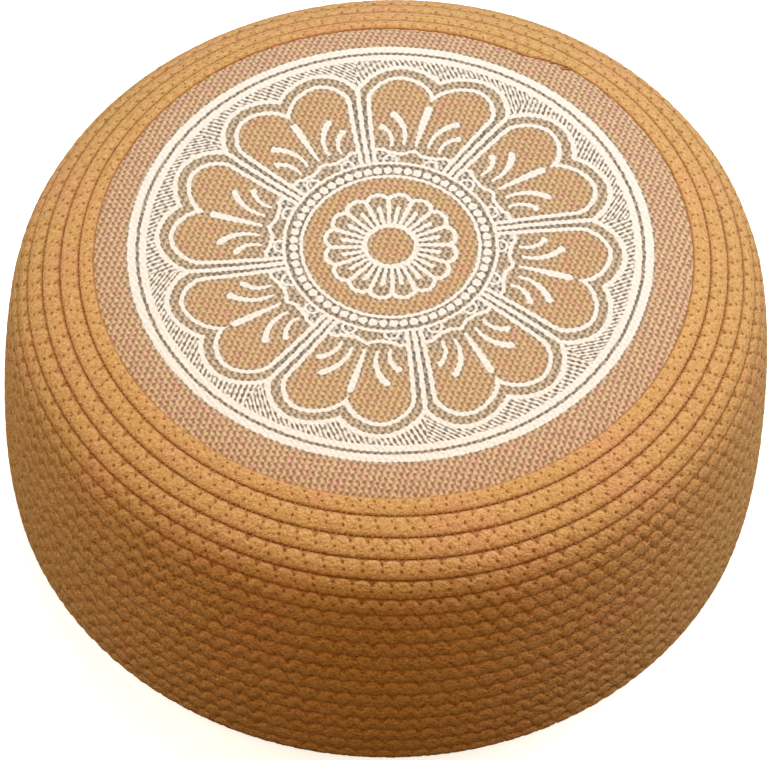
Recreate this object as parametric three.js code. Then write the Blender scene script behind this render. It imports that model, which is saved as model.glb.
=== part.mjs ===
import * as THREE from 'three';
import { mergeVertices } from 'three/addons/utils/BufferGeometryUtils.js';

// A low round stuffed pouf. One long flat cotton braid is sewn to itself in a spiral over the whole
// body, and a round printed linen panel is let into its top. Millimetres and degrees, +Z up.
// The pouf is first laid out with the rim of the linen at height zero, and stood on its base last.

// Driving dimensions.
const LINEN_RADIUS = 150;
const LINEN_CROWN = 3.4;
const LINEN_FLATNESS = 14;
const LINEN_THICKNESS = 1.5;
const SEAT_GAP = 0.3;
const ROW_WIDTH = 10.6;
const CREST_HEIGHT = 0.4;
const SEAM_DEPTH = 1.1;
const LEAN = 2;
const LEAN_TOP = -15;
const LEAN_BOTTOM = -165;
const BASE_CORNER_RADIUS = 17.5;

// How steeply the skin falls, in degrees below level, against the rows counted down from the linen.
const SKIN_SLOPES = [
  { row: 0, slope: 20 },
  { row: 1.5, slope: 26 },
  { row: 3, slope: 36 },
  { row: 4.5, slope: 64 },
  { row: 6, slope: 81 },
  { row: 8, slope: 84 },
  { row: 11, slope: 87 },
  { row: 14, slope: 89 },
  { row: 17.3, slope: 95.5 },
];

// The spiral of the braid: where it starts, and how its first turn opens out along the linen.
const SPIRAL_START = 52;
const START_TAPER = 0.03;
const FIRST_SEAM_AT_START = -0.25;
const SEAM_AFTER_ONE_TURN = 0.4;

// Slight unevenness of the stuffed wall: swells around the body, each with its size and where it sits.
const SWELLS = [
  { size: 0.85, around: 2, turned: 110 },
  { size: 0.85, around: 3, turned: 180 },
];
const SWELL_FULL_ROW = 5;

// Facets.
const SEGMENTS = 48;
const POINTS_PER_ROW = 4;
const STEPS_PER_ROW = 20;
const LINEN_RINGS = [0.45, 0.75, 0.88, 0.95, 1];

const COLOURS = { braid: 0xc08a50, linen: 0xd8b48c };

const rad = THREE.MathUtils.degToRad;
const { lerp, smoothstep } = THREE.MathUtils;

// The skin's slope at a row, in radians. Below the table it rounds the base corner to level.
function skinSlope(row) {
  const last = SKIN_SLOPES[SKIN_SLOPES.length - 1];
  if (row >= last.row) {
    const turned = ((row - last.row) * ROW_WIDTH) / BASE_CORNER_RADIUS;
    return Math.min(rad(last.slope) + turned, Math.PI);
  }
  const above = SKIN_SLOPES.findLast((entry) => entry.row <= Math.max(row, 0));
  const below = SKIN_SLOPES[SKIN_SLOPES.indexOf(above) + 1];
  const share = (Math.max(row, 0) - above.row) / (below.row - above.row);
  return rad(lerp(above.slope, below.slope, share));
}

const baseCornerLength = (Math.PI - rad(SKIN_SLOPES.at(-1).slope)) * BASE_CORNER_RADIUS;
const BASE_ROW = SKIN_SLOPES.at(-1).row + baseCornerLength / ROW_WIDTH;
const TURNS = Math.ceil(BASE_ROW) + 1;

// Radius and height of the skin at each small step down from the linen's rim.
function traceSkin() {
  const steps = Math.ceil((TURNS + 1) * STEPS_PER_ROW);
  const stride = ROW_WIDTH / STEPS_PER_ROW;
  const points = [new THREE.Vector2(LINEN_RADIUS, 0)];
  for (let step = 1; step <= steps; step += 1) {
    const slope = skinSlope((step - 0.5) / STEPS_PER_ROW);
    const before = points[step - 1];
    points.push(new THREE.Vector2(before.x + stride * Math.cos(slope), before.y - stride * Math.sin(slope)));
  }
  return points;
}

const SKIN = traceSkin();

function skinPoint(row) {
  if (row <= 0) {
    return new THREE.Vector2(LINEN_RADIUS + row * ROW_WIDTH, 0);
  }
  const place = row * STEPS_PER_ROW;
  const step = Math.min(Math.floor(place), SKIN.length - 2);
  return SKIN[step].clone().lerp(SKIN[step + 1], place - step);
}

const FLOOR = skinPoint(BASE_ROW).y;

// Row position of the seam at a number of turns along the spiral. Its first turn borders the linen,
// where the end of the braid tapers in from under the next row. Its last lies level on the base.
function seamRow(turns) {
  if (turns < 1) {
    const opened = smoothstep(turns, 0, START_TAPER);
    const alongLinen = lerp(FIRST_SEAM_AT_START, SEAM_AFTER_ONE_TURN, turns);
    return lerp(turns + SEAM_AFTER_ONE_TURN, alongLinen, opened);
  }
  return Math.min(turns, TURNS) - 1 + SEAM_AFTER_ONE_TURN;
}

// The wall swells a little around the body, and the body leans off the linen's centre.
function swell(azimuth, row) {
  const share = smoothstep(row, 0, SWELL_FULL_ROW);
  const waves = SWELLS.map(({ size, around, turned }) => size * Math.cos(around * azimuth - rad(turned)));
  return share * waves.reduce((sum, wave) => sum + wave, 0);
}

function leanAt(height) {
  return LEAN * smoothstep(height, LEAN_BOTTOM, LEAN_TOP);
}

function bodyPoint(azimuth, row, relief) {
  const skin = skinPoint(row);
  const slope = skinSlope(row);
  const radius = skin.x + relief * Math.sin(slope) + swell(azimuth, row);
  const height = Math.max(skin.y + relief * Math.cos(slope), FLOOR);
  return new THREE.Vector3(
    radius * Math.cos(azimuth) + leanAt(height),
    radius * Math.sin(azimuth),
    height,
  );
}

// A point of the braid: step counts along the spiral, and part counts across its row.
function braidPoint(step, part) {
  const turns = step / SEGMENTS;
  const azimuth = rad(SPIRAL_START) + turns * 2 * Math.PI;
  const inner = seamRow(turns);
  const outer = seamRow(turns + 1);
  const across = part / POINTS_PER_ROW;
  const row = lerp(inner, outer, across);
  const worn = smoothstep(-Math.cos(skinSlope(row)), 0.5, 0.95);
  const bulge = Math.sin(Math.PI * across) * Math.min(outer - inner, 1);
  const relief = (1 - worn) * (bulge * (CREST_HEIGHT + SEAM_DEPTH) - SEAM_DEPTH);
  return bodyPoint(azimuth, row, relief);
}

// Where the seam that borders the linen lies, seen from the linen's centre.
function rimAt(step) {
  const seam = braidPoint(step, 0);
  const azimuth = rad(SPIRAL_START) + (step / SEGMENTS) * 2 * Math.PI;
  return { azimuth, radius: Math.hypot(seam.x - LEAN, seam.y), height: seam.z };
}

// A crowned disc inside the linen's rim, as rings of points from the middle out.
function crownedRings(drop, inset) {
  return LINEN_RINGS.map((share) =>
    Array.from({ length: SEGMENTS }, (_, step) => {
      const rim = rimAt(step);
      const radius = (rim.radius - inset) * share;
      return new THREE.Vector3(
        radius * Math.cos(rim.azimuth) + LEAN,
        radius * Math.sin(rim.azimuth),
        lerp(LINEN_CROWN, rim.height, share ** LINEN_FLATNESS) - drop,
      );
    }),
  );
}

function middlePoint(drop) {
  return new THREE.Vector3(LEAN, 0, LINEN_CROWN - drop);
}

// Collects triangles, merges their shared points and leaves out those that have shrunk to a line.
class Skinner {
  constructor() {
    this.positions = [];
  }

  triangle(a, b, c) {
    [a, b, c].forEach((point) => this.positions.push(point.x, point.y, point.z));
  }

  quad(a, b, c, d) {
    this.triangle(a, b, c);
    this.triangle(a, c, d);
  }

  fan(middle, ring) {
    ring.forEach((point, index) => this.triangle(middle, point, ring[(index + 1) % ring.length]));
  }

  // A band between two rings, with the same diagonals whichever way its faces look.
  band(inside, outside, facingDown = false) {
    inside.forEach((point, index) => {
      const next = (index + 1) % inside.length;
      const others = [outside[index], outside[next], inside[next]];
      this.quad(point, ...(facingDown ? others.reverse() : others));
    });
  }

  geometry() {
    const soup = new THREE.BufferGeometry();
    soup.setAttribute('position', new THREE.Float32BufferAttribute(this.positions, 3));
    const merged = mergeVertices(soup, 1e-3);
    const corners = Array.from(merged.index.array);
    const kept = [];
    for (let corner = 0; corner < corners.length; corner += 3) {
      const [a, b, c] = corners.slice(corner, corner + 3);
      if (a !== b && b !== c && c !== a) {
        kept.push(a, b, c);
      }
    }
    merged.setIndex(kept);
    return merged;
  }
}

function buildBody() {
  const skinner = new Skinner();
  const steps = SEGMENTS * TURNS;
  for (let step = 0; step < steps; step += 1) {
    for (let part = 0; part < POINTS_PER_ROW; part += 1) {
      skinner.quad(
        braidPoint(step, part),
        braidPoint(step, part + 1),
        braidPoint(step + 1, part + 1),
        braidPoint(step + 1, part),
      );
    }
  }
  const firstSeam = Array.from({ length: SEGMENTS }, (_, step) => braidPoint(step, 0));
  const lastSeam = Array.from({ length: SEGMENTS }, (_, step) => braidPoint(steps + step, 0));
  const seat = crownedRings(LINEN_THICKNESS + SEAT_GAP, 0);
  skinner.fan(middlePoint(LINEN_THICKNESS + SEAT_GAP), seat[0]);
  seat.slice(1).forEach((ring, index) => skinner.band(seat[index], ring));
  skinner.band(seat.at(-1), firstSeam);
  const underside = new THREE.Vector3(0, 0, FLOOR);
  skinner.fan(underside, lastSeam.reverse());
  return skinner.geometry();
}

function buildLinen() {
  const skinner = new Skinner();
  const top = crownedRings(0, SEAT_GAP);
  const bottom = crownedRings(LINEN_THICKNESS, SEAT_GAP);
  skinner.fan(middlePoint(0), top[0]);
  top.slice(1).forEach((ring, index) => skinner.band(top[index], ring));
  skinner.band(top.at(-1), bottom.at(-1));
  bottom.slice(1).forEach((ring, index) => skinner.band(bottom[index], ring, true));
  skinner.fan(middlePoint(LINEN_THICKNESS), bottom[0].toReversed());
  return skinner.geometry();
}

function cloth(name, geometry, colour) {
  const material = new THREE.MeshStandardMaterial({ color: colour, roughness: 0.9, metalness: 0 });
  const mesh = new THREE.Mesh(geometry, material);
  mesh.name = name;
  return mesh;
}

const pouf = new THREE.Group();
pouf.add(cloth('braided_body', buildBody(), COLOURS.braid));
pouf.add(cloth('linen_top', buildLinen(), COLOURS.linen));

// Stand the pouf on its base, with the middle of its box over the origin.
const box = new THREE.Box3().setFromObject(pouf);
const middle = box.getCenter(new THREE.Vector3());
pouf.position.set(-middle.x, -middle.y, -box.min.z);

export default pouf;
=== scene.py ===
import math

import bpy
import numpy as np
from mathutils import Matrix, Vector


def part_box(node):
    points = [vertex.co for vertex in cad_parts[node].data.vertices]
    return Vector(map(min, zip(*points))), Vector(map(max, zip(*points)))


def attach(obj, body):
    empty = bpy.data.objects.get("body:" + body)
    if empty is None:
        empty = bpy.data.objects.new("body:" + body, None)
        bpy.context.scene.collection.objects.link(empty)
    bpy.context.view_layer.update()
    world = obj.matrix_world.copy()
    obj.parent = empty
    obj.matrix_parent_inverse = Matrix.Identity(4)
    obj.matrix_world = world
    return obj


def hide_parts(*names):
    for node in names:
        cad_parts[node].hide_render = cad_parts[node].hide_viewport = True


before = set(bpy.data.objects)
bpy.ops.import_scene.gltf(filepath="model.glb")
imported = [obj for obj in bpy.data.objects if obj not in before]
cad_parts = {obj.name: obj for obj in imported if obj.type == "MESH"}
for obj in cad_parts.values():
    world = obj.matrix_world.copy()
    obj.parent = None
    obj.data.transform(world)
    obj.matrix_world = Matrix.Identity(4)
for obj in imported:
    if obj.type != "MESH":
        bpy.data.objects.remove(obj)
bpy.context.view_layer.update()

# Sizes are in millimetres and angles in degrees. MM turns them into the scene's metres.
MM = 0.001

# The skin of the pouf: how steeply it falls, against the rows of braid counted from the linen.
LINEN_RADIUS = 150.0
LINEN_CROWN = 3.4
LINEN_FLATNESS = 14
LINEN_THICKNESS = 1.2
ROW_WIDTH = 10.6
CREST_HEIGHT = 0.4
SEAM_DEPTH = 1.1
LEAN = 2.0
LEAN_TOP = -15.0
LEAN_BOTTOM = -165.0
BASE_CORNER_RADIUS = 17.5
SLOPE_ROWS = (0, 1.5, 3, 4.5, 6, 8, 11, 14, 17.3)
SLOPE_ANGLES = (20, 26, 36, 64, 81, 84, 87, 89, 95.5)
SKIN_STEP = 0.02
GROUNDED = (0.5, 0.95)

# The spiral of the braid.
SPIRAL_START = 52.0
START_TAPER = 0.03
FIRST_SEAM_AT_START = -0.25
SEAM_AFTER_ONE_TURN = 0.4

# Swells of the stuffed wall: size, waves around the body and where they sit.
SWELLS = ((0.85, 2, 110), (0.85, 3, 180))
SWELL_FULL_ROW = 5.0
CAD_SEGMENTS = 48


def smoothstep(value, low, high):
    share = np.clip((value - low) / (high - low), 0, 1)
    return share * share * (3 - 2 * share)


# The skin

BASE_ROW = SLOPE_ROWS[-1] + math.radians(180 - SLOPE_ANGLES[-1]) * BASE_CORNER_RADIUS / ROW_WIDTH


def skin_slope(rows):
    """How far the skin has turned down from level, in radians."""
    rows = np.asarray(rows, float)
    tabled = np.radians(np.interp(rows, SLOPE_ROWS, SLOPE_ANGLES))
    turned = np.maximum(rows - SLOPE_ROWS[-1], 0) * ROW_WIDTH / BASE_CORNER_RADIUS
    return np.minimum(tabled + turned, math.pi)


def grounded(rows):
    """1 where the skin lies on the ground, where the braid's face is pressed level."""
    return smoothstep(-np.cos(skin_slope(rows)), *GROUNDED)


def trace_skin():
    """Row positions, radii and heights of the skin, from the linen's rim to the middle of the underside."""
    rows = np.arange(0, BASE_ROW + LINEN_RADIUS * 2 / ROW_WIDTH, SKIN_STEP)
    slopes = skin_slope(rows[:-1] + SKIN_STEP / 2)
    stride = SKIN_STEP * ROW_WIDTH
    radii = LINEN_RADIUS + np.concatenate([[0], np.cumsum(np.cos(slopes)) * stride])
    heights = -np.concatenate([[0], np.cumsum(np.sin(slopes)) * stride])
    inside = radii >= 0
    return rows[inside], radii[inside], heights[inside]


SKIN_ROWS, SKIN_RADII, SKIN_HEIGHTS = trace_skin()
BASE_RADIUS = float(np.interp(BASE_ROW, SKIN_ROWS, SKIN_RADII))
FLOOR = float(SKIN_HEIGHTS[-1])


def swell(azimuth, rows, radii):
    """How far the stuffed wall swells out at each place."""
    waves = sum(size * np.cos(around * azimuth - math.radians(turned)) for size, around, turned in SWELLS)
    on_wall = smoothstep(rows, 0, SWELL_FULL_ROW)
    on_base = np.where(rows > BASE_ROW, radii / BASE_RADIUS, 1)
    return waves * on_wall * on_base


def body_points(azimuth, rows, relief):
    """Points of the body, relief millimetres outside its skin, before it stands on its base."""
    azimuth, rows, relief = np.broadcast_arrays(azimuth, rows, relief)
    radii = np.where(rows < 0, LINEN_RADIUS + rows * ROW_WIDTH, np.interp(rows, SKIN_ROWS, SKIN_RADII))
    heights = np.interp(rows, SKIN_ROWS, SKIN_HEIGHTS)
    slope = skin_slope(rows)
    radius = radii + relief * np.sin(slope) + swell(azimuth, rows, radii)
    height = np.maximum(heights + relief * np.cos(slope), FLOOR)
    lean = LEAN * smoothstep(height, LEAN_BOTTOM, LEAN_TOP)
    return np.stack([radius * np.cos(azimuth) + lean, radius * np.sin(azimuth), height], -1)


def seam_row(turns):
    """Row position of the seam at a number of turns along the spiral."""
    opened = smoothstep(turns, 0, START_TAPER)
    along_linen = FIRST_SEAM_AT_START + (SEAM_AFTER_ONE_TURN - FIRST_SEAM_AT_START) * turns
    tapered = turns + SEAM_AFTER_ONE_TURN
    first_turn = tapered + (along_linen - tapered) * opened
    return np.where(turns < 1, first_turn, turns - 1 + SEAM_AFTER_ONE_TURN)


def rim_points(azimuth):
    """The seam round the linen, at azimuths in radians."""
    turns = np.mod(azimuth - math.radians(SPIRAL_START), 2 * math.pi) / (2 * math.pi)
    return body_points(azimuth, seam_row(turns), -SEAM_DEPTH)


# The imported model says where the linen's box lies, which gives the shift of the whole pouf.
segment_angles = math.radians(SPIRAL_START) + np.arange(CAD_SEGMENTS) * 2 * math.pi / CAD_SEGMENTS
linen_low, linen_high = (np.array(corner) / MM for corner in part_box("linen_top"))
rim = rim_points(segment_angles)
linen_middle = (linen_low + linen_high)[:2] / 2
SHIFT = np.array([*(linen_middle - (rim.min(0) + rim.max(0))[:2] / 2), linen_high[2] - LINEN_CROWN])


def placed(points):
    """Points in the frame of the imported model, in metres."""
    return (points + SHIFT) * MM


# Meshes

def grid_faces(lengthwise, around):
    """Quads of a tube of rings, all the rings having the same number of points."""
    first = np.arange(lengthwise - 1)[:, None] * around
    side = np.arange(around)[None, :]
    after = (side + 1) % around
    quads = [first + side, first + after, first + around + after, first + around + side]
    return np.stack(np.broadcast_arrays(*quads), -1).reshape(-1, 4)


def make_mesh(name, points, faces, attributes=None):
    """A smooth mesh object from points in metres and lists of faces with equal numbers of corners."""
    mesh = bpy.data.meshes.new(name)
    corners = np.concatenate([part.ravel() for part in faces]).astype(np.int32)
    sizes = np.concatenate([np.full(len(part), part.shape[1]) for part in faces]).astype(np.int32)
    mesh.vertices.add(len(points))
    mesh.vertices.foreach_set("co", np.asarray(points, np.float32).ravel())
    mesh.loops.add(len(corners))
    mesh.loops.foreach_set("vertex_index", corners)
    mesh.polygons.add(len(sizes))
    mesh.polygons.foreach_set("loop_start", np.concatenate([[0], np.cumsum(sizes)[:-1]]).astype(np.int32))
    mesh.polygons.foreach_set("use_smooth", np.ones(len(sizes), bool))
    for title, values in (attributes or {}).items():
        layer = mesh.attributes.new(title, "FLOAT_VECTOR", "POINT")
        layer.data.foreach_set("vector", np.asarray(values, np.float32).ravel())
    mesh.update(calc_edges=True)
    mesh.validate()
    made = bpy.data.objects.new(name, mesh)
    bpy.context.scene.collection.objects.link(made)
    return made


def close_rings(name, rings, first_middle, last_middle):
    """A closed mesh of rings of points, with a middle point at each end."""
    count, around = rings.shape[:2]
    points = np.concatenate([rings.reshape(-1, 3), [first_middle], [last_middle]])
    ring = np.arange(around)
    after = (ring + 1) % around
    last = (count - 1) * around
    first_fan = np.stack([ring, after, np.full(around, len(points) - 2)], -1)
    last_fan = np.stack([last + after, last + ring, np.full(around, len(points) - 1)], -1)
    return make_mesh(name, placed(points), [grid_faces(count, around)[:, ::-1], first_fan, last_fan])


# Shader arithmetic

class Value:
    """A number inside a shader. Arithmetic on it adds nodes, so a pattern reads as a formula."""

    def __init__(self, tree, socket):
        self.tree = tree
        self.socket = socket

    def math(self, operation, *others):
        node = self.tree.nodes.new("ShaderNodeMath")
        node.operation = operation
        for slot, value in enumerate((self, *others)):
            connect(self.tree, value, node.inputs[slot])
        return Value(self.tree, node.outputs[0])

    def __add__(self, other):
        return self.math("ADD", other)

    def __sub__(self, other):
        return self.math("SUBTRACT", other)

    def __mul__(self, other):
        return self.math("MULTIPLY", other)

    def __truediv__(self, other):
        return self.math("DIVIDE", other)

    def __abs__(self):
        return self.math("ABSOLUTE")

    def sin(self):
        return self.math("SINE")

    def cos(self):
        return self.math("COSINE")

    def low(self, other):
        return self.math("MINIMUM", other)

    def high(self, other):
        return self.math("MAXIMUM", other)

    def smooth_high(self, other, blend):
        return self.math("SMOOTH_MAX", other, blend)

    def step(self, start, end):
        """0 at start, 1 at end and smooth between them. start may be the larger."""
        node = self.tree.nodes.new("ShaderNodeMapRange")
        node.interpolation_type = "SMOOTHSTEP"
        connect(self.tree, self, node.inputs["Value"])
        low, high = min(start, end), max(start, end)
        node.inputs["From Min"].default_value = low
        node.inputs["From Max"].default_value = high
        node.inputs["To Min"].default_value = 0.0 if start < end else 1.0
        node.inputs["To Max"].default_value = 1.0 if start < end else 0.0
        return Value(self.tree, node.outputs["Result"])


def connect(tree, value, socket):
    if isinstance(value, Value):
        tree.links.new(value.socket, socket)
    elif isinstance(value, bpy.types.NodeSocket):
        tree.links.new(value, socket)
    else:
        socket.default_value = value


def hypot(a, b):
    return (a * a + b * b).math("SQRT")


def folded(angle, count):
    """An angle in radians folded into one of count equal sectors, zero on the sector's middle."""
    sector = 2 * math.pi / count
    return (angle + sector / 2).math("FLOORED_MODULO", sector) - sector / 2


def noise(tree, place, scale, detail=2.0):
    """A noise value around 0.5, its features about 1 / scale across, in the unit of the place vector."""
    node = tree.nodes.new("ShaderNodeTexNoise")
    node.inputs["Scale"].default_value = scale
    node.inputs["Detail"].default_value = detail
    tree.links.new(place, node.inputs["Vector"])
    return Value(tree, node.outputs["Fac"])


def mixed(tree, share, first, second):
    """A colour between two colours, each a socket or a tuple of red, green and blue."""
    node = tree.nodes.new("ShaderNodeMix")
    node.data_type = "RGBA"
    connect(tree, share, node.inputs[0])
    for value, socket in ((first, node.inputs[6]), (second, node.inputs[7])):
        connect(tree, (*value, 1.0) if isinstance(value, tuple) else value, socket)
    return node.outputs[2]


SPECULAR = 0.25
SHEEN_ROUGHNESS = 0.5
SHEEN_TINT = (0.95, 0.7, 0.45, 1.0)


def new_material(name, roughness, sheen):
    material = bpy.data.materials.new(name)
    material.use_nodes = True
    tree = material.node_tree
    shader = tree.nodes["Principled BSDF"]
    shader.inputs["Roughness"].default_value = roughness
    shader.inputs["Specular IOR Level"].default_value = SPECULAR
    shader.inputs["Sheen Weight"].default_value = sheen
    shader.inputs["Sheen Roughness"].default_value = SHEEN_ROUGHNESS
    shader.inputs["Sheen Tint"].default_value = SHEEN_TINT
    return material, tree, shader


def bumped(tree, shader, height, distance):
    """Height in millimetres, raised by a bump on the shader."""
    node = tree.nodes.new("ShaderNodeBump")
    node.inputs["Strength"].default_value = 1.0
    node.inputs["Distance"].default_value = distance * MM
    tree.links.new(height.socket, node.inputs["Height"])
    tree.links.new(node.outputs["Normal"], shader.inputs["Normal"])


def linear(red, green, blue):
    """A colour given in the 0 to 255 of a picture, as light."""
    return tuple(((level / 255 + 0.055) / 1.055) ** 2.4 for level in (red, green, blue))


# The linen top

LINEN_STEPS = 240
LINEN_RINGS = (0.1, 0.25, 0.4, 0.55, 0.68, 0.78, 0.86, 0.91, 0.945, 0.965, 0.98, 0.99, 1.0)
LINEN_TUCK = 1.6
TUCK_SLOPE = 0.5
PUCKER_COUNT = 74
PUCKER_HEIGHT = 0.175
PUCKER_FROM = 0.93


def linen_height(share, rim_height, azimuth):
    """Height of the linen's face at a share of the way from its middle to the seam."""
    crowned = LINEN_CROWN + (rim_height - LINEN_CROWN) * np.minimum(share, 1) ** LINEN_FLATNESS
    pucker = PUCKER_HEIGHT * smoothstep(share, PUCKER_FROM, 1.0) * np.cos(PUCKER_COUNT * azimuth)
    return crowned - pucker - np.maximum(share - 1, 0) * LINEN_RADIUS * TUCK_SLOPE


def build_linen():
    """The linen as one closed sheet, its rim tucked under the first row of braid."""
    azimuth = np.arange(LINEN_STEPS) * 2 * math.pi / LINEN_STEPS
    seam = rim_points(azimuth)
    reach = np.hypot(seam[:, 0] - LEAN, seam[:, 1])
    shares = np.array(LINEN_RINGS)[:, None] * (1 + LINEN_TUCK / reach)[None, :]
    radius = shares * reach
    height = linen_height(shares, seam[:, 2], azimuth)
    face = np.stack([radius * np.cos(azimuth) + LEAN, radius * np.sin(azimuth), height], -1)
    thickness = np.array([0, 0, LINEN_THICKNESS])
    middle = np.array([LEAN, 0, LINEN_CROWN])
    rings = np.concatenate([face, face[::-1] - thickness])
    return close_rings("linen_cloth", rings, middle, middle - thickness)


# The print on the linen. It is a traditional lotus rosette: petals in equal sectors round a string
# of beads and a small daisy. Distances are in millimetres from the linen's middle.
PETALS = 8
HALF_PETAL = math.pi / PETALS
PRINT_TURN = 12.0
PRINT_LINE = 1.15
SPOKE_LINE = 1.25
RING_OUTSIDE = 132.7
RING_INSIDE = 123.0
RING_GROOVE = 127.55
RING_GROOVE_HALF = 0.85
PETAL_MIDDLE = (18.0, 90.8)
PETAL_INNER_SIDE = 20.0
PETAL_OUTER_SIDE = 14.8
PETAL_HEIGHT = 18.4
PETAL_TO_SPOKE = 4.3
PETAL_OPENING = 0.04
PETAL_OPENING_FROM = 72.0
PETAL_OPENING_OVER = 36.0
PETAL_CORNER = 2.0
LOBE_SOFTENING = 1e-4
PETAL_BORDER = 7.0
PETAL_FOOT = 54.0
TWIST_PER_MM = math.radians(0.05)
TWIST_RADIUS = 91.0
CLUB_FOOT = 66.5
CLUB_TIP = 91.8
CLUB_WIDTH = 0.8
CLUB_WIDENS = 0.06
CLUB_WIDENS_MOST = 1.05
STAMEN_WIDTH = 0.75
STAMEN_WIDENS = 0.05
STAMENS = (
    {"middle": (26.7, 67.0), "radius": 20.2, "foot": 66.0, "tip": (16.4, 84.4), "knob": 1.85},
    {"middle": (24.3, 64.1), "radius": 11.9, "foot": 63.5, "tip": (19.8, 75.1), "knob": 1.75},
)

# The lace inside the foot of each petal: a scalloped line, its scallops given as middle, height and
# width, and a small arch beside the petal's outline.
LACE_HEIGHT = 59.6
LACE_SCALLOPS = ((0.0, 2.8, 3.6), (16.2, 1.2, 2.2))
LACE_LINE = 0.95
LACE_FLATNESS = 0.85
LACE_ARCH = {"middle": (10.6, 54.3), "radius": 3.4, "line": 0.75}
LACE_INK_FROM = 6.0
LACE_INK_INSET = 0.35
LACE_DRY = 0.12
SPOKE_INK_END = 97.0
SPOKE_INK_FADE = 0.08
BEADS = 60
BEAD_RING = 48.95
BEAD_RADIUS = 2.2
BEAD_LINES = (53.85, 45.05)
BEAD_LINE = 0.9
BEAD_INK_HALF = 3.6
DAISY_PETALS = 16
DAISY_HALF = math.pi / DAISY_PETALS
DAISY_ARCH = {"middle": 26.96, "radius": 6.34, "foot": 28.6}
DAISY_RAYS = {"width": 0.9, "widens": 0.03, "widest": 1.2, "long": 30.0, "short": 24.4}
DAISY_RING = 13.1
DAISY_RING_LINE = 1.35
DAISY_INK_DARK = 21.0
DAISY_INK_END = 30.5
DAISY_INK_FADE = 0.2
WASH_EDGE = (-0.5, 1.0)
WASH_AT_FOOT = (88.0, 62.0)
WASH_FROM = 50.0

# Engraved strokes fill the white outside the petals, each broken into dashes.
HATCH_DIRECTION = (0.77, 0.64)
HATCH_PITCH = 2.1
HATCH_BREAK = 5.2
HATCH_BREAK_SIZE = 0.45
HATCH_EDGE = 0.4
HATCH_MARGIN = 0.3


def line_about(distance, half_width=PRINT_LINE):
    return abs(distance) - half_width


def petal_distance(across, along):
    """Distance outside the inner outline of a heart-shaped petal, across being mirrored."""
    to_spoke = across * math.cos(HALF_PETAL) - along * math.sin(HALF_PETAL)
    sideways = across - PETAL_MIDDLE[0]
    inner_side = sideways.math("LESS_THAN", 0.0)
    reach = inner_side * (PETAL_INNER_SIDE - PETAL_OUTER_SIDE) + PETAL_OUTER_SIDE
    upward = (along - PETAL_MIDDLE[1]).high(0.0)
    scaled = hypot(sideways / reach, upward / PETAL_HEIGHT)
    steepness = hypot(sideways / (reach * reach), upward / PETAL_HEIGHT ** 2) + LOBE_SOFTENING
    lobe = scaled * (scaled - 1) / steepness
    side = to_spoke + (along - PETAL_OPENING_FROM).low(PETAL_OPENING_OVER) * PETAL_OPENING + PETAL_TO_SPOKE
    return lobe.smooth_high(side, PETAL_CORNER), to_spoke


def stamen_distance(across, along, stamen):
    """Distance outside a curved stamen that ends in a round knob."""
    middle_x, middle_y = stamen["middle"]
    tip_x, tip_y = stamen["tip"]
    ridge = abs(hypot(across - middle_x, along - middle_y) - stamen["radius"])
    thickness = (along - stamen["foot"]) * STAMEN_WIDENS + STAMEN_WIDTH
    stalk = (ridge - thickness).high(across - tip_x).high(along * -1 + stamen["foot"])
    return stalk.low(hypot(across - tip_x, along - tip_y) - stamen["knob"])


def club_distance(across, along):
    """Distance outside the straight club in the middle of a petal."""
    beyond = (along - CLUB_TIP).high(0.0).high(along * -1 + CLUB_FOOT)
    thickness = ((along - CLUB_FOOT) * CLUB_WIDENS).low(CLUB_WIDENS_MOST) + CLUB_WIDTH
    return hypot(across, beyond) - thickness


def scallop(across, middle, height, width):
    """A smooth hump of a given height at a place across the petal."""
    share = (across - middle) / width
    return (share * share * -1).math("EXPONENT") * height


def lace_distances(across, along, radius, petal):
    """Distances outside the white lace under a petal and outside the ink in its hollows."""
    top = scallop(across, *LACE_SCALLOPS[0]) + scallop(across, *LACE_SCALLOPS[1]) + LACE_HEIGHT
    middle_x, middle_y = LACE_ARCH["middle"]
    arch = line_about(hypot(across - middle_x, along - middle_y) - LACE_ARCH["radius"], LACE_ARCH["line"])
    outside = petal.high(radius * -1 + BEAD_LINES[0])
    white = line_about((along - top) * LACE_FLATNESS, LACE_LINE).low(arch).high(outside)
    inked = (along - top).high(across * -1 + LACE_INK_FROM).high(outside)
    return white, inked


def daisy_distance(angle, radius):
    """Distance outside the white lines of the daisy: its arches, its rays and its ring."""
    turn = folded(angle, DAISY_PETALS)
    across = abs(turn.sin() * radius)
    along = turn.cos() * radius
    arch = line_about(hypot(across, along - DAISY_ARCH["middle"]) - DAISY_ARCH["radius"])
    arch = arch.high(along * -1 + DAISY_ARCH["foot"])
    width = (radius - DAISY_RING) * DAISY_RAYS["widens"] + DAISY_RAYS["width"]
    to_valley = across * math.cos(DAISY_HALF) - along * math.sin(DAISY_HALF)
    long_ray = (abs(to_valley) - width.low(DAISY_RAYS["widest"])).high(radius - DAISY_RAYS["long"])
    short_ray = hypot(across, (radius - DAISY_RAYS["short"]).high(0.0)) - width
    rays = long_ray.low(short_ray).high(radius * -1 + DAISY_RING)
    ring = line_about(radius - DAISY_RING, DAISY_RING_LINE)
    return arch.low(rays).low(ring)


def bead_distance(angle, radius):
    """Distance outside the string of beads and the two lines beside it."""
    turn = folded(angle, BEADS)
    beads = hypot(turn.sin() * radius, turn.cos() * radius - BEAD_RING) - BEAD_RADIUS
    lines = line_about(radius - BEAD_LINES[0], BEAD_LINE).low(line_about(radius - BEAD_LINES[1], BEAD_LINE))
    return beads.low(lines)


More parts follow.
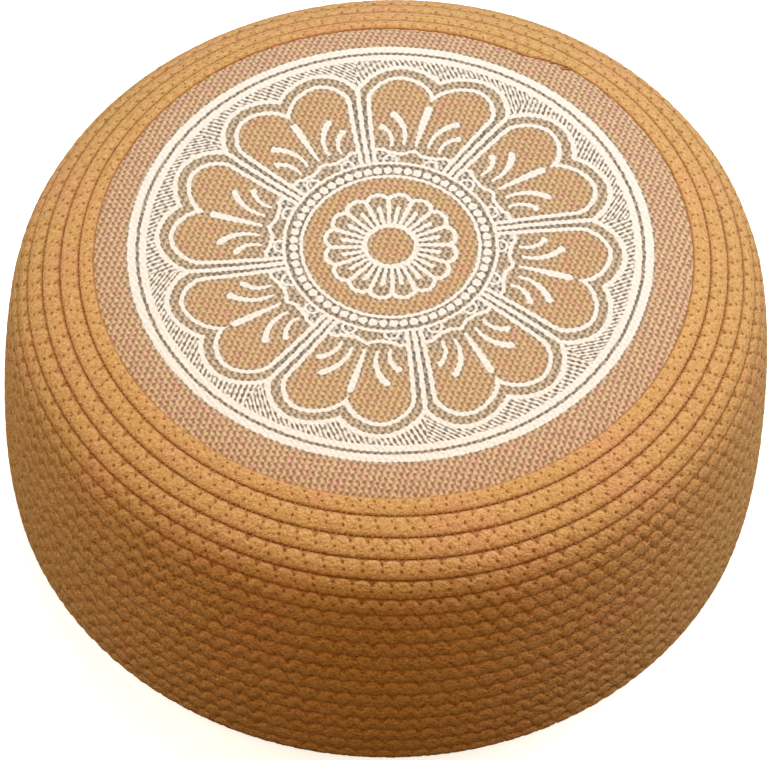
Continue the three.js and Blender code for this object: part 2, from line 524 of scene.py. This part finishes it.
def petal_lines(across, along, petal, to_spoke):
    """Distance outside the white lines of a petal and of the spoke beside it."""
    drawn = line_about(petal).low(line_about(petal - PETAL_BORDER))
    drawn = drawn.low(line_about(to_spoke, SPOKE_LINE).high(petal - PETAL_BORDER))
    drawn = drawn.low(club_distance(across, along))
    for stamen in STAMENS:
        drawn = drawn.low(stamen_distance(across, along, stamen))
    return drawn


def hatch_distance(turn, radius, petal):
    """Engraved strokes in the white field outside the petals, positive on a stroke."""
    along, across = HATCH_DIRECTION
    sideways = turn * radius
    slanted = (sideways * along + radius * across) * (2 * math.pi / HATCH_PITCH)
    broken = (sideways * across - radius * along) * (2 * math.pi / HATCH_BREAK)
    stroke = slanted.sin() + broken.sin() * HATCH_BREAK_SIZE
    inside = (petal - PETAL_BORDER - PRINT_LINE - HATCH_MARGIN).low(radius * -1 + RING_INSIDE)
    return (stroke * HATCH_EDGE).low(inside)


def ink_distance(radius, to_spoke, groove, hatch, lace_ink):
    """Distance outside the dark ink in the gaps of the white."""
    inked = (groove * -1).low(hatch * -1).low(lace_ink + LACE_INK_INSET)
    inked = inked.low(abs(radius - BEAD_RING) - BEAD_INK_HALF)
    spoke_gap = (abs(to_spoke) - PETAL_TO_SPOKE).high((radius - SPOKE_INK_END) * SPOKE_INK_FADE)
    inked = inked.low(spoke_gap.high(radius * -1 + PETAL_FOOT))
    daisy_ink = (radius - DAISY_INK_DARK).high(radius * -1 + DAISY_RING)
    return inked.low(daisy_ink * DAISY_INK_FADE)


def washed_share(radius, petal):
    """1 where the cloth beside the white is tinted grey: outside the petals, at their feet, in the daisy."""
    outer_field = petal.step(*WASH_EDGE)
    foot = radius.step(*WASH_AT_FOOT) * radius.step(PETAL_FOOT - 2, PETAL_FOOT)
    round_petals = radius.step(RING_OUTSIDE + 1, RING_OUTSIDE) * radius.step(WASH_FROM, PETAL_FOOT)
    round_daisy = radius.step(DAISY_INK_END + 1, DAISY_INK_END) * radius.step(DAISY_RING - 1, DAISY_RING)
    return (outer_field.high(foot) * round_petals).high(round_daisy)


def print_pattern(x, y):
    """The print at a place on the linen: distances outside its white and its dark ink, how far the cloth
    is tinted grey beside them, and the radius."""
    radius = hypot(x, y)
    angle = x.math("ARCTAN2", y) - (radius - TWIST_RADIUS) * TWIST_PER_MM - math.radians(PRINT_TURN)
    turn = folded(angle, PETALS)
    across = abs(turn.sin() * radius)
    along = turn.cos() * radius
    petal, to_spoke = petal_distance(across, along)
    lace, lace_ink = lace_distances(across, along, radius, petal)
    hatch = hatch_distance(turn, radius, petal)
    groove = abs(radius - RING_GROOVE) * -1 + RING_GROOVE_HALF
    field = (petal * -1 + PETAL_BORDER).high(radius - RING_OUTSIDE)
    drawn = petal_lines(across, along, petal, to_spoke).high(radius * -1 + PETAL_FOOT)
    drawn = drawn.low(lace).low(lace_ink.high(LACE_DRY))
    drawn = drawn.low(bead_distance(angle, radius)).low(daisy_distance(angle, radius))
    drawn = drawn.low(field.high(groove).high(hatch))
    inked = ink_distance(radius, to_spoke, groove, hatch, lace_ink)
    return drawn, inked, washed_share(radius, petal), radius


# The weave repeats over two threads each way. Each wave of it has its counts of those two repeats,
# its size, and where it starts in its turn.
WEAVE_REPEATS = ({"length": 3.15, "direction": -17.5}, {"length": 3.15, "direction": 84.5})
# The starts of the last two waves give each thread a bright edge beside a dark edge: in the cloth's colour,
# painted light from one side.
WEAVE_WAVES = ((1, 0, 1.0, 0), (0, 1, 0.6, 0), (1, 1, 0.95, -93), (-1, 1, 0.45, 111))
WEAVE_REACH = 2.1
WEAVE_WANDER = 1.6
WEAVE_SLUBS = 5.0

# The unevenness of the linen, each kind with its scale and its detail.
LINEN_NOISE = {"wander": (0.16, 3.0), "slub": (0.75, 2.0), "fibre": (2.2, 2.0), "tint": (0.22, 3.0)}

# Tones of the cloth inside the print and outside it, and of each tint from its hollows to its threads.
# The hollow tones here and in INK_TONES and WASH_TONES are painted shade between the threads.
LINEN_LIGHT = (linear(220, 190, 142), linear(229, 198, 160))
LINEN_PINKISH = (linear(224, 176, 147), linear(229, 184, 161))
LINEN_SHADE = (linear(140, 111, 80), linear(130, 99, 70))
INK_TONES = (linear(84, 81, 73), linear(176, 167, 150))
WASH_TONES = (linear(106, 93, 76), linear(213, 194, 166))
PRINT_WHITE = linear(240, 236, 229)
PRINT_EDGE = 0.3
HALO = (2.3, 0.6)
HALO_SHARE = 0.8


def weave(x, y, wander):
    """The weave's height, about -2 to 2, made of a few waves over its two repeats."""
    phases = []
    for repeat in WEAVE_REPEATS:
        direction = math.radians(repeat["direction"])
        along = x * math.cos(direction) + y * math.sin(direction) + wander
        phases.append(along * (2 * math.pi / repeat["length"]))
    total = None
    for first, second, size, start in WEAVE_WAVES:
        wave = (phases[0] * first + phases[1] * second + math.radians(start)).cos() * size
        total = wave if total is None else total + wave
    return total


def linen_place(tree):
    """A place on the linen in millimetres from its middle: the whole vector, and its two level parts."""
    place = tree.nodes.new("ShaderNodeTexCoord").outputs["Object"]
    local = tree.nodes.new("ShaderNodeVectorMath")
    local.operation = "MULTIPLY_ADD"
    tree.links.new(place, local.inputs[0])
    local.inputs[1].default_value = (1 / MM, 1 / MM, 1 / MM)
    local.inputs[2].default_value = (-LEAN - SHIFT[0], -SHIFT[1], 0)
    split = tree.nodes.new("ShaderNodeSeparateXYZ")
    tree.links.new(local.outputs[0], split.inputs[0])
    return local.outputs[0], Value(tree, split.outputs[0]), Value(tree, split.outputs[1])


def cloth_colour(tree, outside, lifted, tint):
    """The bare cloth: painted shade between its threads, and pinkish patches on them."""
    light = mixed(tree, outside, *LINEN_LIGHT)
    dark = mixed(tree, outside, *LINEN_SHADE)
    pinkish = mixed(tree, outside, *LINEN_PINKISH)
    return mixed(tree, lifted, dark, mixed(tree, tint.step(0.45, 0.65), light, pinkish))


def linen_material():
    """Coarse linen, its weave and its print worked out from the place on it, with painted shade between the
    threads and painted light on them.
    """
    material, tree, shader = new_material("printed_linen", 0.9, 0.1)
    place, x, y = linen_place(tree)
    wander, slub, fibre, tint = (noise(tree, place, *settings) for settings in LINEN_NOISE.values())
    woven = weave(x, y, wander * WEAVE_WANDER) + (slub - 0.5) * WEAVE_SLUBS
    drawn, inked, washed, radius = print_pattern(x, y)
    ragged = drawn + (slub - 0.5) * 0.8 + woven * -0.1
    white = ragged.step(PRINT_EDGE, -PRINT_EDGE)
    # The light tones go on the raised threads and the dark ones in the gaps, on the cloth, the ink, the wash
    # and the white: painted light and painted shade of the weave.
    lifted = woven.step(-WEAVE_REACH, WEAVE_REACH) * 0.75 + fibre.step(0.35, 0.65) * 0.25
    outside = radius.step(RING_OUTSIDE - 1, RING_OUTSIDE + 4)
    cloth = cloth_colour(tree, outside, lifted, tint)
    ink = mixed(tree, lifted, *INK_TONES)
    wash = mixed(tree, lifted, *WASH_TONES)
    tinted = mixed(tree, washed.high(drawn.step(*HALO) * HALO_SHARE), cloth, wash)
    under = mixed(tree, inked.step(0.5, -0.5) * (lifted * -0.2 + 1.0), tinted, ink)
    printed = mixed(tree, white * (lifted * 0.1 + 0.88), under, PRINT_WHITE)
    tree.links.new(printed, shader.inputs["Base Color"])
    bumped(tree, shader, woven * 0.35 + slub * 0.5 + fibre * 0.3, 0.3)
    return material


# The braid

BRAID_STEP = 1.12
UNDERSIDE_STEP = 1.7
BRAID_ACROSS = (-5.27, -5.0, -4.3, -3.2, -2.0, -0.6, 0.8, 2.2, 3.6, 4.6, 5.05, 5.27)
UNDERSIDE_ACROSS = (-5.27, -4.6, -3.0, 0.0, 3.0, 4.6, 5.27)
BRAID_BACK = -2.8
BACK_INSET = 0.4
WALL_PIECES = 4
CROWN_FALL = 0.5
SEAM_SHARPNESS = 12
TAPER_SOFTNESS = 0.3

# The zigzag stitch that joins each row to the next.
PITCH_AT_LINEN = 6.3
PITCH_GAIN = 0.9
PITCH_MOST = 9.5
STITCH_UP = 4.2
STITCH_DOWN = 2.4
STITCH_UP_ON_LINEN = 0.6
STITCH_SINK = 0.62
STITCH_WIDTH = 0.8
SINK_ABOVE_SEAM = 0.5
SINK_ACROSS_SEAM = (-2.0, 1.0)
WALL_SINK_ABOVE_SEAM = 0.85
WALL_SINK_GAIN = 0.2
FIRST_SINK = 0.3
SINK_GROWS = (0.8, 3.5)
HOLE_DEPTH = 0.75
HOLE_RADIUS = 0.75
HOLE_OFFSET = 0.35
HOLES_FADE = (5.5, 8.0)
HOLES_LEFT = 0.6

# The stitches also pull the seams of the wall into a wave, and no two of them pull alike.
SEAM_WAVE = 0.7
SEAM_WAVE_TURNS = (4.0, 7.5)
UNEVEN_WAVE = 0.25
UNEVEN_PULL = 0.35
UNEVEN_STEP = 1.7

# Small lumps of the braid's face: their height, and how fast their two waves run along and across it.
LUMP_HEIGHT = 0.16
LUMP_WAVES = ((1.3, 0.8), (-0.6, 1.1))

THREAD_RADIUS = 0.45
THREAD_DEPTH = 0.36
THREAD_PLACES = (0.0, 0.1, 0.4, 0.5, 0.6, 0.9)
THREAD_INTO_HOLE = 0.08
THREAD_FROM = 0.02

# Turns along the spiral: where the seam is reckoned from and how finely, how far past the base corner
# the wall's braid goes, and the rows left open in the middle of the underside.
SEAM_FROM = 0.004
SEAM_STEP = 0.002
WALL_PAST_BASE = 0.2
SPIRAL_EYE = 0.55


def count_along(turns, pitch):
    """How often a pitch fits along the seam, from the start of the spiral to each number of turns."""
    radii = np.interp(seam_row(turns), SKIN_ROWS, SKIN_RADII)
    steps = np.diff(turns) * 2 * math.pi * (radii[1:] + radii[:-1]) / 2
    return np.concatenate([[0], np.cumsum(steps / ((pitch[1:] + pitch[:-1]) / 2))])


LAST_TURN = BASE_ROW + (BASE_RADIUS - SPIRAL_EYE * ROW_WIDTH) / ROW_WIDTH
SEAM_TURNS = np.arange(SEAM_FROM, LAST_TURN + 1, SEAM_STEP)
STITCH_PITCH = np.minimum(PITCH_AT_LINEN + PITCH_GAIN * SEAM_TURNS, PITCH_MOST)
STITCH_COUNTS = count_along(SEAM_TURNS, STITCH_PITCH)
SEAM_LENGTHS = count_along(SEAM_TURNS, np.ones(len(SEAM_TURNS)))
WALL_END = BASE_ROW + WALL_PAST_BASE


def uneven(value):
    """A smooth wave from -1 to 1 that never quite repeats."""
    return np.sin(value + 2.1 * np.sin(value * 0.37) + 1.3 * np.sin(value * 0.113))


def seam_line(turns):
    """Row position of the seam, with the wave that its stitches pull it into."""
    counts = np.interp(turns, SEAM_TURNS, STITCH_COUNTS)
    size = SEAM_WAVE * smoothstep(turns, *SEAM_WAVE_TURNS) * (1 - grounded(seam_row(turns)))
    wave = np.cos(2 * math.pi * counts) * (1 - UNEVEN_WAVE + UNEVEN_WAVE * uneven(counts))
    return seam_row(turns) - size / ROW_WIDTH * wave


def from_nearest(counts, place):
    """How far each stitch count is from the nearest whole one plus a place, from -0.5 to 0.5."""
    return np.mod(counts - place + 0.5, 1) - 0.5


def row_profile(across):
    """Relief across a row without its stitches: softly crowned, with a narrow seam at each side."""
    share = np.abs(across) / (ROW_WIDTH / 2)
    seam = (SEAM_DEPTH - CROWN_FALL + CREST_HEIGHT) * share ** SEAM_SHARPNESS
    return CREST_HEIGHT - CROWN_FALL * share ** 2 - seam


def stitch_sink(across, turns):
    """How deep a stitch lies in the braid: deeper below the seam, and away from the flat top."""
    on_wall = smoothstep(turns, *SEAM_WAVE_TURNS)
    above = SINK_ABOVE_SEAM + (WALL_SINK_ABOVE_SEAM - SINK_ABOVE_SEAM) * on_wall
    below = above + (1 - above) * smoothstep(across, *SINK_ACROSS_SEAM)
    grown = FIRST_SINK + (1 - FIRST_SINK) * smoothstep(turns, *SINK_GROWS) + WALL_SINK_GAIN * on_wall
    return STITCH_SINK * below * grown


def stitch_dent(across, turns):
    """How deep the stitches of one seam press the braid, across being the distance below the seam."""
    counts = np.interp(turns, SEAM_TURNS, STITCH_COUNTS)
    pitch = np.interp(turns, SEAM_TURNS, STITCH_PITCH)
    place = np.abs(from_nearest(counts, 0.0))
    leg = -STITCH_UP + (STITCH_UP + STITCH_DOWN) * 2 * place
    lean = pitch / 2 / np.hypot(pitch / 2, STITCH_UP + STITCH_DOWN)
    pull = 1 + UNEVEN_PULL * uneven(counts * UNEVEN_STEP)
    dent = pull * stitch_sink(across, turns) * np.exp(-(((across - leg) * lean) / STITCH_WIDTH) ** 2)
    depth = HOLE_DEPTH * (1 - (1 - HOLES_LEFT) * smoothstep(turns, *HOLES_FADE))
    for hole, middle in ((-STITCH_UP - HOLE_OFFSET, 0.0), (STITCH_DOWN + HOLE_OFFSET, 0.5)):
        along = from_nearest(counts, middle) * pitch
        dent += depth * np.exp(-(along ** 2 + (across - hole) ** 2) / HOLE_RADIUS ** 2)
    return dent


def braid_relief(along, across, turns):
    """Relief of the braid's face at lengths along it and places across it."""
    relief = row_profile(across)
    relief = relief - stitch_dent(across + ROW_WIDTH / 2, turns)
    relief = relief - stitch_dent(across - ROW_WIDTH / 2, turns + 1)
    first, second = (uneven(along * fast + across * wide) for fast, wide in LUMP_WAVES)
    return relief + LUMP_HEIGHT * first * second


def build_braid(name, start, end, step, across):
    """A closed length of braid laid along the spiral between two numbers of turns."""
    lengths = np.interp((start, end), SEAM_TURNS, SEAM_LENGTHS)
    along = np.linspace(*lengths, int((lengths[1] - lengths[0]) / step))[:, None]
    turns = np.interp(along, SEAM_LENGTHS, SEAM_TURNS)
    inner, outer = seam_line(turns), seam_line(turns + 1)
    face = np.array(across)[None, :]
    back = np.full((len(along), 2), BRAID_BACK)
    relief = np.concatenate([braid_relief(along, face, turns), back], 1)
    places = np.concatenate([face, [[across[-1] - BACK_INSET, across[0] + BACK_INSET]]], 1)
    rows = inner + (outer - inner) * (0.5 + places / ROW_WIDTH)
    relief = relief * np.minimum(outer - inner + TAPER_SOFTNESS, 1) - grounded(rows) * CREST_HEIGHT
    azimuth = math.radians(SPIRAL_START) + turns * 2 * math.pi
    points = body_points(azimuth, rows, relief).reshape(-1, 3)
    around = len(across) + 2
    first = np.arange(around)
    ends = np.stack([first[::-1], (len(along) - 1) * around + first])
    counts_in, counts_out = (np.interp(turns + more, SEAM_TURNS, STITCH_COUNTS) for more in (0, 1))
    attributes = {
        "braid": np.stack(np.broadcast_arrays(along, places, relief), -1).reshape(-1, 3),
        "stitch": np.stack(np.broadcast_arrays(counts_in, counts_out, places), -1).reshape(-1, 3),
    }
    return make_mesh(name, placed(points), [grid_faces(len(along), around), ends], attributes)


def thread_path(counts):
    """Turns, rows and relief of the thread's middle at stitch counts."""
    turns = np.interp(counts, STITCH_COUNTS, SEAM_TURNS)
    swing = 2 * np.abs(from_nearest(counts, 0.0))
    upward = np.where(turns < 1, STITCH_UP_ON_LINEN, STITCH_UP)
    across = -upward + (upward + STITCH_DOWN) * swing
    rows = seam_line(turns) + across / ROW_WIDTH
    into_hole = np.exp(-(np.minimum(swing, 1 - swing) / THREAD_INTO_HOLE) ** 2)
    surface = row_profile(ROW_WIDTH / 2 - np.abs(across)) - stitch_sink(across, turns)
    relief = surface - THREAD_DEPTH - into_hole * HOLE_DEPTH - grounded(rows) * CREST_HEIGHT
    return turns, rows, relief


def build_thread(name, start, end):
    """The zigzag thread over the seams between two numbers of turns, as one thin tube."""
    first, last = np.ceil(np.interp((start, end), SEAM_TURNS, STITCH_COUNTS))
    whole = np.arange(first, last)[:, None]
    turns, rows, relief = thread_path((whole + np.array(THREAD_PLACES)[None, :]).ravel())
    azimuth = math.radians(SPIRAL_START) + turns * 2 * math.pi
    centre = body_points(azimuth, rows, relief)
    outward = body_points(azimuth, rows, relief + 1) - body_points(azimuth, rows, relief - 1)
    outward[:, 2] += np.where(grounded(rows) > 0.5, -1.0, 0.0)
    outward /= np.linalg.norm(outward, axis=1, keepdims=True)
    sideways = np.cross(np.gradient(centre, axis=0), outward)
    sideways /= np.linalg.norm(sideways, axis=1, keepdims=True)
    ring = [centre + THREAD_RADIUS * side for side in (outward, sideways, -outward, -sideways)]
    points = np.stack(ring, 1).reshape(-1, 3)
    corners = np.arange(4)
    ends = np.stack([corners, (len(centre) - 1) * 4 + corners[::-1]])
    return make_mesh(name, placed(points), [grid_faces(len(centre), 4)[:, ::-1], ends])


# Scales of the cotton's grain, from broad patches of colour to loose fibres.
OLIVE_SCALE = 17.0
PINK_SCALE = 26.0
WANDER_SCALE = 420.0
KNOB_SCALE = 620.0
FUZZ_SCALE = 1500.0
STRAND_LENGTH = 2.6
STRAND_WANDER = 16.0
HOLE_SHADE = (1.25, 0.2)

COTTON_CAMEL = linear(205, 160, 97)
COTTON_PINK = linear(210, 156, 104)
COTTON_OLIVE = linear(196, 159, 90)
# Paler fibres with painted highlight, then the deep brown of painted shade in the seams, dents and hollows.
COTTON_PALE_HIGHLIGHT = linear(232, 194, 140)
COTTON_SHADE = linear(141, 82, 25)
OLIVE_SHARE = 0.45


def point_values(tree, title):
    """The three numbers of a mesh attribute, as values."""
    attribute = tree.nodes.new("ShaderNodeAttribute")
    attribute.attribute_name = title
    split = tree.nodes.new("ShaderNodeSeparateXYZ")
    tree.links.new(attribute.outputs["Vector"], split.inputs[0])
    return [Value(tree, split.outputs[axis]) for axis in range(3)]


def needle_holes(across, counts_in, counts_out):
    """1 in the middle of each needle hole of the two seams beside a row, fading out round it."""
    upper = ((counts_out + 0.5).math("FRACT") - 0.5) * PITCH_MOST
    lower = (counts_in.math("FRACT") - 0.5) * PITCH_MOST
    to_upper = hypot(upper, across - (ROW_WIDTH / 2 - STITCH_UP - HOLE_OFFSET))
    to_lower = hypot(lower, across + (ROW_WIDTH / 2 - STITCH_DOWN - HOLE_OFFSET))
    return to_upper.low(to_lower).step(*HOLE_SHADE)


def cotton_colour(tree, place, light_share, dark_share):
    """Camel cotton with soft pinkish and olive patches, paler fibres with painted highlight, and painted
    shade in deep brown.
    """
    pink = noise(tree, place, PINK_SCALE).step(0.45, 0.7)
    olive = noise(tree, place, OLIVE_SCALE).step(0.5, 0.72)
    tone = mixed(tree, pink, COTTON_CAMEL, COTTON_PINK)
    tone = mixed(tree, olive * OLIVE_SHARE, tone, COTTON_OLIVE)
    highlighted = mixed(tree, light_share, tone, COTTON_PALE_HIGHLIGHT)
    return mixed(tree, dark_share, highlighted, COTTON_SHADE)


def braid_material():
    """Camel cotton with painted shade in the seams, the stitch dents and the needle holes, and painted light
    and shade on the knobs of its bump.
    """
    material, tree, shader = new_material("cotton_braid", 0.9, 0.15)
    along, across, relief = point_values(tree, "braid")
    counts_in, counts_out, _ = point_values(tree, "stitch")
    place = tree.nodes.new("ShaderNodeTexCoord").outputs["Object"]
    knobs = noise(tree, place, KNOB_SCALE)
    fuzz = noise(tree, place, FUZZ_SCALE)
    wander = noise(tree, place, WANDER_SCALE)
    slanted = (along + abs(across)) * (2 * math.pi / STRAND_LENGTH) + wander * STRAND_WANDER
    strands = slanted.sin() * 0.5 + 0.5
    on_wall = along.step(*np.interp(HOLES_FADE, SEAM_TURNS, SEAM_LENGTHS))
    # The needle holes darken the colour: painted shade in the holes.
    hole = needle_holes(across, counts_in, counts_out) * (on_wall * (HOLES_LEFT - 1) + 1.0)
    # Paler where the knobs, fuzz and strands of the bump rise: the yarn's own speckle with painted
    # highlight.
    light = knobs.step(0.5, 0.68) * 0.42 + fuzz.step(0.52, 0.7) * 0.4 + strands * 0.1
    # Deep brown where the relief sinks into the seams and stitch dents, and where the knobs and fuzz sink:
    # painted shade.
    seam = relief.step(0.2, -0.9) * (on_wall * -0.14 + 0.68)
    painted_shade = seam + knobs.step(0.5, 0.3) * (on_wall * 0.2 + 0.3) + fuzz.step(0.46, 0.3) * 0.2
    dark = painted_shade.high(hole * 0.9).low(1.0)
    tree.links.new(cotton_colour(tree, place, light, dark), shader.inputs["Base Color"])
    bumped(tree, shader, knobs * 2.8 + strands * 0.3 + fuzz + hole * -1.0, 0.35)
    return material


def thread_material():
    material, tree, shader = new_material("sewing_thread", 0.85, 0.1)
    place = tree.nodes.new("ShaderNodeTexCoord").outputs["Object"]
    twist = noise(tree, place, FUZZ_SCALE)
    knobs = noise(tree, place, KNOB_SCALE)
    # Paler where the twist rises, painted highlight; deep brown where the knobs sink, painted shade, over a
    # steady share of that brown along the whole thread.
    light = twist.step(0.45, 0.7) * 0.2
    dark = knobs.step(0.6, 0.35) * 0.4 + 0.35
    tree.links.new(cotton_colour(tree, place, light, dark), shader.inputs["Base Color"])
    bumped(tree, shader, twist + knobs, 0.3)
    return material


# The stuffed body under the braid

CORE_DEPTH = 3.0
CORE_STEPS = 144
CORE_FIRST_ROW = -0.3
CORE_ROW_STEP = 0.25
CORE_UNDER_LINEN = 0.6
CORE_LID_SHARES = (0.15, 0.97, 7)
CORE_BASE_RINGS = 12
LINING_SCALE = 400.0
LINING_SHADE_TONES = (linear(112, 66, 28), linear(140, 88, 42))


def build_core():
    """The closed stuffed form that the braid and the linen lie on."""
    wall_rows = np.arange(CORE_FIRST_ROW, BASE_ROW + 2, CORE_ROW_STEP)
    rows = np.concatenate([wall_rows, np.linspace(BASE_ROW + 2, SKIN_ROWS[-1], CORE_BASE_RINGS)[1:-1]])
    azimuth = np.arange(CORE_STEPS) * 2 * math.pi / CORE_STEPS
    relief = -CORE_DEPTH - grounded(rows) * CREST_HEIGHT
    wall = body_points(azimuth[None, :], rows[:, None], relief[:, None])
    lid_shares = np.linspace(*CORE_LID_SHARES)[:, None, None]
    top = np.array([LEAN, 0, LINEN_CROWN - LINEN_THICKNESS - CORE_UNDER_LINEN])
    lid = top + (wall[0][None] - top) * lid_shares
    lid[:, :, 2] = top[2] + (wall[0][None, :, 2] - top[2]) * lid_shares[:, :, 0] ** LINEN_FLATNESS
    return close_rings("stuffed_body", np.concatenate([lid, wall]), top, wall[-1].mean(0))


# A dark brown lining, as dark as the shade in the seams: where it shows between the rows of braid it is
# painted shade.
def core_material():
    material, tree, shader = new_material("lining_painted_shade", 0.95, 0.0)
    place = tree.nodes.new("ShaderNodeTexCoord").outputs["Object"]
    colour = mixed(tree, noise(tree, place, LINING_SCALE), *LINING_SHADE_TONES)
    tree.links.new(colour, shader.inputs["Base Color"])
    return material


# The studio

VIEW_ELEVATION = 53.733
VIEW_ROLL = 0.556
VIEW_DISTANCE = 2250.0
VIEW_TARGET = (-2.7 + LEAN, 0.0, -110.9)
VIEW_FOCAL_PIXELS = 4285.0
PICTURE_WIDTH = 768
SENSOR_WIDTH = 36.0
CLIP_END = 20


def add_camera():
    elevation = math.radians(VIEW_ELEVATION)
    back = Vector((0, -math.cos(elevation), math.sin(elevation)))
    up = Vector((0, math.sin(elevation), math.cos(elevation)))
    axes = Matrix((Vector((1, 0, 0)), up, back)).transposed().to_4x4()
    data = bpy.data.cameras.new("camera")
    data.sensor_width = SENSOR_WIDTH
    data.lens = VIEW_FOCAL_PIXELS * SENSOR_WIDTH / PICTURE_WIDTH
    data.clip_end = CLIP_END
    camera = bpy.data.objects.new("camera", data)
    target = Vector(placed(np.array(VIEW_TARGET)))
    camera.matrix_world = (
        Matrix.Translation(target + back * VIEW_DISTANCE * MM)
        @ axes
        @ Matrix.Rotation(math.radians(VIEW_ROLL), 4, "Z")
    )
    bpy.context.scene.collection.objects.link(camera)
    bpy.context.scene.camera = camera


# Soft lights round the pouf: a high one behind it, one at each side and a warm one in front. Each has
# its azimuth, elevation, distance and width in metres, its power and its colour.
SOFTBOXES = {
    "key": (75, 68, 2.2, 1.8, 37, (0.83, 0.9, 1.0)),
    "right": (12, 28, 2.0, 1.4, 24.7, (1.0, 0.94, 0.87)),
    "left": (168, 28, 2.0, 1.4, 19.3, (1.0, 0.88, 0.68)),
    "front": (-90, 48, 2.0, 1.4, 17.5, (1.0, 0.58, 0.22)),
}
ROOM_LIGHT = (0.02, 0.015, 0.01)
FLOOR_SIZE = 12
FLOOR_TONE = 0.93
FLOOR_ROUGHNESS = 0.9
FLOOR_GLOW = 0.7


def add_softbox(name, azimuth, elevation, distance, size, power, colour):
    """A round soft light that faces the pouf."""
    data = bpy.data.lights.new(name, "AREA")
    data.shape = "DISK"
    data.size = size
    data.energy = power
    data.color = colour
    light = bpy.data.objects.new(name, data)
    turn, rise = math.radians(azimuth), math.radians(elevation)
    away = Vector((math.cos(rise) * math.cos(turn), math.cos(rise) * math.sin(turn), math.sin(rise)))
    facing = away.to_track_quat("Z", "Y").to_matrix().to_4x4()
    light.matrix_world = Matrix.Translation(away * distance) @ facing
    bpy.context.scene.collection.objects.link(light)


def add_floor():
    """A pale floor that glows a little. It throws no light on the pouf's wall."""
    bpy.ops.mesh.primitive_plane_add(size=FLOOR_SIZE)
    floor = bpy.context.object
    floor.name = "floor"
    floor.visible_diffuse = False
    floor.visible_glossy = False
    material = bpy.data.materials.new("pale_floor")
    material.use_nodes = True
    shader = material.node_tree.nodes["Principled BSDF"]
    shader.inputs["Base Color"].default_value = (FLOOR_TONE, FLOOR_TONE, FLOOR_TONE, 1)
    shader.inputs["Roughness"].default_value = FLOOR_ROUGHNESS
    shader.inputs["Emission Color"].default_value = (1, 1, 1, 1)
    shader.inputs["Emission Strength"].default_value = FLOOR_GLOW
    floor.data.materials.append(material)


def add_studio():
    add_floor()
    world = bpy.data.worlds.new("studio")
    world.use_nodes = True
    world.node_tree.nodes["Background"].inputs["Color"].default_value = (*ROOM_LIGHT, 1)
    bpy.context.scene.world = world
    for name, settings in SOFTBOXES.items():
        add_softbox(name, *settings)
    bpy.context.scene.view_settings.view_transform = "Standard"


add_camera()
add_studio()

core = build_core()
core.data.materials.append(core_material())
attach(core, "root")
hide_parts("braided_body")

cotton = braid_material()
for number in range(WALL_PIECES):
    piece = build_braid(
        f"braid_wall_{number + 1}",
        WALL_END * number / WALL_PIECES,
        WALL_END * (number + 1) / WALL_PIECES,
        BRAID_STEP,
        BRAID_ACROSS,
    )
    piece.data.materials.append(cotton)
    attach(piece, "root")

underside = build_braid("braid_underside", WALL_END, LAST_TURN, UNDERSIDE_STEP, UNDERSIDE_ACROSS)
underside.data.materials.append(cotton)
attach(underside, "root")

thread = thread_material()
for name, start, end in (("thread_wall", THREAD_FROM, WALL_END), ("thread_underside", WALL_END, LAST_TURN)):
    piece = build_thread(name, start, end)
    piece.data.materials.append(thread)
    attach(piece, "root")

linen = build_linen()
linen.data.materials.append(linen_material())
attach(linen, "root")
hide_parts("linen_top")
